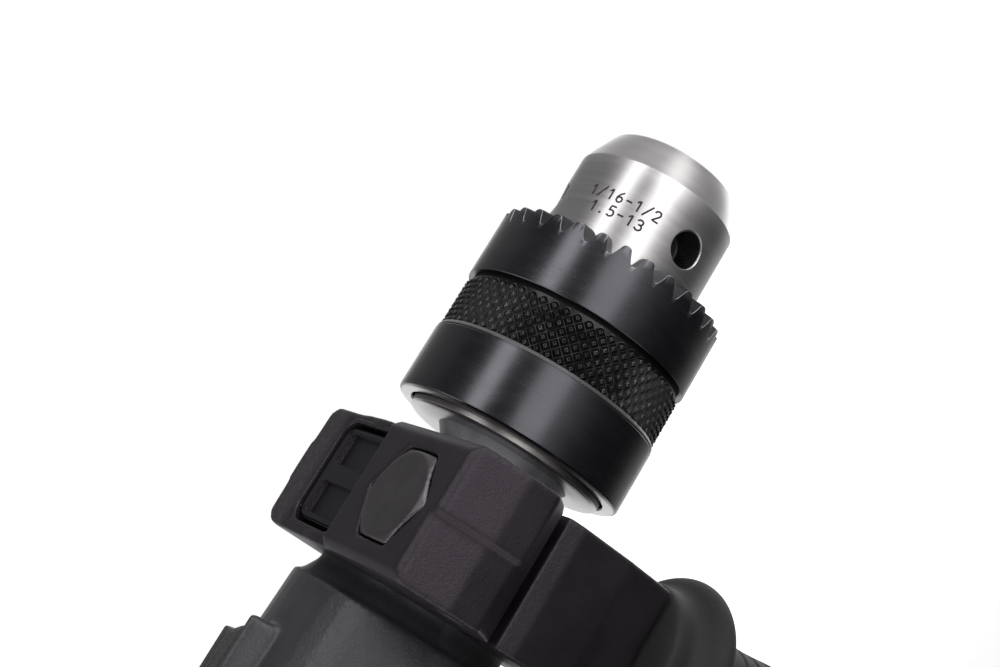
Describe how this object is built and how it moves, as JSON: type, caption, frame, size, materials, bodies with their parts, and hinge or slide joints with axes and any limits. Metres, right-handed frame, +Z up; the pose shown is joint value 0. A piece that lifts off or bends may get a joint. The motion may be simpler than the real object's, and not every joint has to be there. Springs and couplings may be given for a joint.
{
  "type": "electric drill",
  "caption": "Corded pistol-grip impact drill with a keyed three-jaw chuck that opens and closes, a geared motor inside and a clamp-on side handle.",
  "frame": {"origin": "middle of the pistol grip, where the hand holds the drill", "axes": "+X along the spindle towards the chuck's nose, +Z up, +Y to the user's left"},
  "size_m": [0.2925, 0.1126, 0.2087],
  "materials": {
    "sleeve_black": "satin black oxide, knurled band",
    "chuck_steel": "turned and brushed",
    "steel": "machined",
    "dark_steel": "black oxide",
    "spring_steel": "drawn",
    "cast_black": "black painted casting",
    "housing_plastic": "fine moulded texture",
    "clamp_plastic": "glass-filled nylon, satin",
    "black_plastic": "satin",
    "soft_grip": "matte",
    "bearing_steel": "ground",
    "bronze": "sintered",
    "copper": "turned bars",
    "winding": "varnished wire",
    "lamination": "stacked sheets",
    "brass": "stamped",
    "carbon": "pressed carbon",
    "mustard": "dipped"
  },
  "bodies": {
    "housing": {"gear_housing": "cast_black", "gear_housing_screws": "steel", "bearing_bracket": "steel", "left_housing": "housing_plastic", "right_housing": "housing_plastic", "front_bearing": "bearing_steel", "front_seal": "soft_grip", "spindle_bush": "bronze", "impact_spring": "spring_steel", "fixed_ratchet": "dark_steel", "armature_front_bearing": "bearing_steel", "armature_rear_bearing": "bearing_steel", "stator_core": "lamination", "field_coils": "winding", "air_baffle": "black_plastic", "brush_holders": "brass", "carbon_brushes": "carbon", "brush_springs": "spring_steel", "housing_screws": "steel", "rubber_grip": "soft_grip", "switch_body": "black_plastic", "noise_capacitor": "mustard", "cord_gland": "soft_grip", "cord_clamp": "black_plastic"},
    "armature": {"armature_shaft": "steel", "armature_core": "lamination", "armature_windings": "winding", "commutator": "copper", "cooling_fan": "black_plastic"},
    "thrust_carrier": {"thrust_washer": "steel"},
    "spindle_group": {"spindle": "steel", "output_gear": "steel", "moving_ratchet": "dark_steel", "spindle_circlip": "dark_steel", "chuck_body": "chuck_steel", "chuck_screw": "dark_steel"},
    "sleeve_group": {"chuck_sleeve": "sleeve_black", "jaw_nut": "dark_steel"},
    "jaw_a": {"jaw_1": "dark_steel"},
    "jaw_b": {"jaw_2": "dark_steel"},
    "jaw_c": {"jaw_3": "dark_steel"},
    "mode_selector": {"mode_knob": "black_plastic", "mode_shift_bar": "steel"},
    "trigger_group": {"trigger": "black_plastic"},
    "wheel_group": {"speed_wheel": "black_plastic"},
    "lock_group": {"lock_button": "black_plastic"},
    "lever_group": {"reverse_lever": "black_plastic"},
    "ring_group": {"clamp_ring": "clamp_plastic"},
    "bolt_group": {"clamp_bolt": "dark_steel"},
    "handle_group": {"side_grip": "black_plastic", "grip_insert": "steel"}
  },
  "joints": [
    {"name": "impact_slide", "type": "slide", "parent": "housing", "child": "thrust_carrier", "axis": [1, 0, 0], "range_m": [-0.0012, 0], "stiffness_N_per_m": 9000, "springref_m": 0.004, "deforming": ["impact_spring"]},
    {"name": "chuck_spin", "type": "hinge", "parent": "thrust_carrier", "child": "spindle_group", "pos_m": [0.178, 0, 0.114], "axis": [1, 0, 0], "continuous": true},
    {"name": "armature_spin", "type": "hinge", "parent": "housing", "child": "armature", "pos_m": [0.038, 0, 0.0896], "axis": [1, 0, 0], "continuous": true},
    {"name": "sleeve_turn", "type": "hinge", "parent": "spindle_group", "child": "sleeve_group", "pos_m": [0.208, 0, 0.114], "axis": [-1, 0, 0], "range_deg": [0, 5095]},
    {"name": "jaw_slide_1", "type": "slide", "parent": "spindle_group", "child": "jaw_a", "axis": [0.9613, -0.024, 0.2746], "range_m": [0, 0.01996]},
    {"name": "jaw_slide_2", "type": "slide", "parent": "spindle_group", "child": "jaw_b", "axis": [0.9613, -0.2258, -0.1581], "range_m": [0, 0.01996]},
    {"name": "jaw_slide_3", "type": "slide", "parent": "spindle_group", "child": "jaw_c", "axis": [0.9613, 0.2498, -0.1165], "range_m": [0, 0.01996]},
    {"name": "mode_slide", "type": "slide", "parent": "housing", "child": "mode_selector", "axis": [0, 1, 0], "range_m": [-0.008, 0]},
    {"name": "trigger_pull", "type": "slide", "parent": "housing", "child": "trigger_group", "axis": [-1, 0, 0], "range_m": [0, 0.008], "stiffness_N_per_m": 1200, "springref_m": -0.003},
    {"name": "speed_dial", "type": "hinge", "parent": "trigger_group", "child": "wheel_group", "pos_m": [0.0338, 0, 0.038], "axis": [0, 0, 1], "range_deg": [0, 540]},
    {"name": "lock_press", "type": "slide", "parent": "housing", "child": "lock_group", "axis": [0, -1, 0], "range_m": [0, 0.003], "stiffness_N_per_m": 800, "springref_m": -0.001},
    {"name": "reverse_swing", "type": "hinge", "parent": "housing", "child": "lever_group", "pos_m": [0.006, 0, 0.049], "axis": [0, 0, 1], "range_deg": [-10, 10]},
    {"name": "ring_turn", "type": "hinge", "parent": "housing", "child": "ring_group", "pos_m": [0.15455, 0, 0.114], "axis": [1, 0, 0], "continuous": true},
    {"name": "grip_turn", "type": "hinge", "parent": "ring_group", "child": "handle_group", "pos_m": [0.15455, -0.02366, 0.09978], "axis": [0, -0.515, 0.8572], "range_deg": [0, 720]},
    {"name": "bolt_slide", "type": "slide", "parent": "ring_group", "child": "bolt_group", "axis": [0, -0.515, 0.8572], "range_m": [0, 0.0035]}
  ],
  "couplings": [
    {"joint": "armature_spin", "follows": "chuck_spin", "ratio": -7.7143},
    {"joint": "jaw_slide_1", "follows": "sleeve_turn", "m_per_rad": 0.00022446},
    {"joint": "jaw_slide_2", "follows": "sleeve_turn", "m_per_rad": 0.00022446},
    {"joint": "jaw_slide_3", "follows": "sleeve_turn", "m_per_rad": 0.00022446},
    {"joint": "bolt_slide", "follows": "grip_turn", "m_per_rad": 0.00027852}
  ]
}
